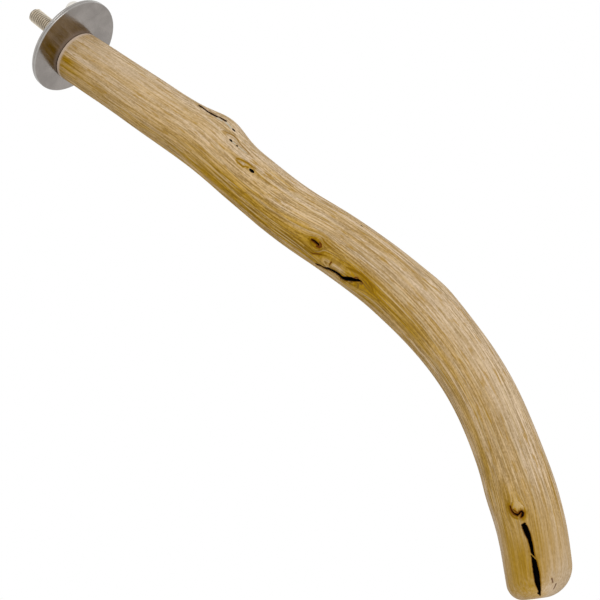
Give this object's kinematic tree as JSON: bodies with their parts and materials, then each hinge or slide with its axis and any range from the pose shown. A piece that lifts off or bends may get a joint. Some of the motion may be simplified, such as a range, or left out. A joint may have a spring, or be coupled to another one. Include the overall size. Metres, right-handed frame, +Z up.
{
  "type": "bird perch",
  "caption": "Natural branch bird perch that clamps to cage bars between two large washers, drawn together by a wing nut on a threaded stud.",
  "frame": {"origin": "on the stud's axis at the clamp plane, the inner washer's face that meets the cage bars", "axes": "+X along the stud into the cage, the way the branch runs; the branch bends in the XY plane towards -Y; +Z up"},
  "size_m": [0.3024, 0.0707, 0.04],
  "materials": {
    "bare_wood": "bare peeled and sanded branch wood, uncoated, with fine grain, knots and drying cracks",
    "stud_steel": "plain steel with rolled threads",
    "washer_steel": "polished stainless steel, faces nearly mirror bright, edges plain",
    "nut_steel": "bright cast steel, satin"
  },
  "bodies": {
    "arm": {"branch": "bare_wood", "hanger_bolt": "stud_steel"},
    "inner_washer": {"inner_washer": "washer_steel"},
    "outer_washer": {"outer_washer": "washer_steel"},
    "wing_nut": {"wing_nut": "nut_steel"}
  },
  "joints": [
    {"name": "inner_washer_spin", "type": "hinge", "parent": "arm", "child": "inner_washer", "pos_m": [0.0005, 0, 0], "axis": [1, 0, 0], "continuous": true},
    {"name": "outer_washer_slide", "type": "slide", "parent": "arm", "child": "outer_washer", "axis": [-1, 0, 0], "range_m": [0, 0.025]},
    {"name": "wing_nut_turn", "type": "hinge", "parent": "outer_washer", "child": "wing_nut", "pos_m": [-0.0045, 0, 0], "axis": [-1, 0, 0], "range_deg": [0, 9000]}
  ],
  "couplings": [
    {"joint": "outer_washer_slide", "follows": "wing_nut_turn", "m_per_rad": 0.00015915}
  ]
}
